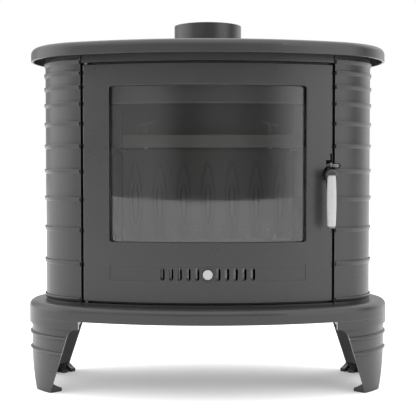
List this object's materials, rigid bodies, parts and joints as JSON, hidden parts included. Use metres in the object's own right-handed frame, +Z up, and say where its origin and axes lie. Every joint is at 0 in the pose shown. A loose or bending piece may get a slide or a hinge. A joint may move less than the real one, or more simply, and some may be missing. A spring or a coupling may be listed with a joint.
{
  "type": "wood burning stove",
  "caption": "Free-standing cast-iron wood burning stove, curved front door with wide window, ribbed sides, oval plates, short splayed legs and a round flue collar.",
  "frame": {"origin": "on the floor, under the middle of the plates", "axes": "+Z up, -Y out of the door, +X to the right when facing the door"},
  "size_m": [0.772, 0.424, 0.779],
  "materials": {
    "cast_iron": "satin black enamel-like stove paint on cast iron",
    "fire_iron": "matt, heat-greyed cast iron",
    "fire_board": "matt pressed vermiculite board, greyed by smoke",
    "sheet_steel": "matt black heat-proof paint on sheet steel",
    "steel": "blackened steel",
    "door_glass": "clear heat-proof glass",
    "rope_seal": "woven glass rope",
    "white_ceramic": "glossy white glaze"
  },
  "bodies": {
    "stove": {"airwash_plate": "sheet_steel", "airwash_screws": "steel", "ash_pan": "sheet_steel", "ash_pan_handle": "sheet_steel", "ash_shelf": "sheet_steel", "back_liner": "fire_iron", "back_panel": "cast_iron", "back_panel_screws": "steel", "baffle": "fire_board", "baffle_bolts": "steel", "baffle_hanger_left": "sheet_steel", "baffle_hanger_right": "sheet_steel", "baffle_ledge_left": "sheet_steel", "baffle_ledge_right": "sheet_steel", "baffle_lift_tabs": "sheet_steel", "base_plate": "cast_iron", "firebox_floor": "fire_iron", "floor_support_left": "sheet_steel", "floor_support_right": "sheet_steel", "flue_collar": "cast_iron", "flue_collar_bolts": "steel", "frame_screws": "steel", "front_frame": "cast_iron", "grate": "fire_iron", "latch_keeper": "steel", "latch_keeper_screws": "steel", "leg_bolts": "steel", "leg_front_left": "cast_iron", "leg_front_right": "cast_iron", "leg_rear_left": "cast_iron", "leg_rear_right": "cast_iron", "log_guard": "fire_iron", "rear_log_comb": "fire_iron", "side_liner_left": "fire_iron", "side_liner_right": "fire_iron", "side_panel_left": "cast_iron", "side_panel_right": "cast_iron", "tie_rod_nuts": "steel", "tie_rods": "steel", "top_plate": "cast_iron"},
    "door": {"door_frame": "cast_iron", "door_glass": "door_glass", "glass_gasket": "rope_seal", "door_gasket": "rope_seal", "glass_clips": "steel", "glass_clip_screws": "steel", "hinge_pin_upper": "steel", "hinge_pin_lower": "steel", "shutter_guides": "steel", "shutter_guide_screws": "steel", "handle_pin": "steel"},
    "handle": {"handle_lever": "cast_iron", "handle_grip": "white_ceramic", "handle_grip_nut": "steel", "latch_hook": "steel"},
    "shutter": {"air_shutter": "steel", "air_knob": "white_ceramic"}
  },
  "joints": [
    {"name": "door_hinge", "type": "hinge", "parent": "stove", "child": "door", "pos_m": [-0.24901, -0.11844, 0.4334], "axis": [0, 0, -1], "range_deg": [0, 90]},
    {"name": "handle_pivot", "type": "hinge", "parent": "door", "child": "handle", "pos_m": [0.24941, -0.12001, 0.4694], "axis": [-1, 0, 0], "range_deg": [0, 40]},
    {"name": "air_slide", "type": "hinge", "parent": "door", "child": "shutter", "pos_m": [0, 0.555, 0.25], "axis": [0, 0, 1], "range_deg": [-0.32, 0.37]}
  ]
}
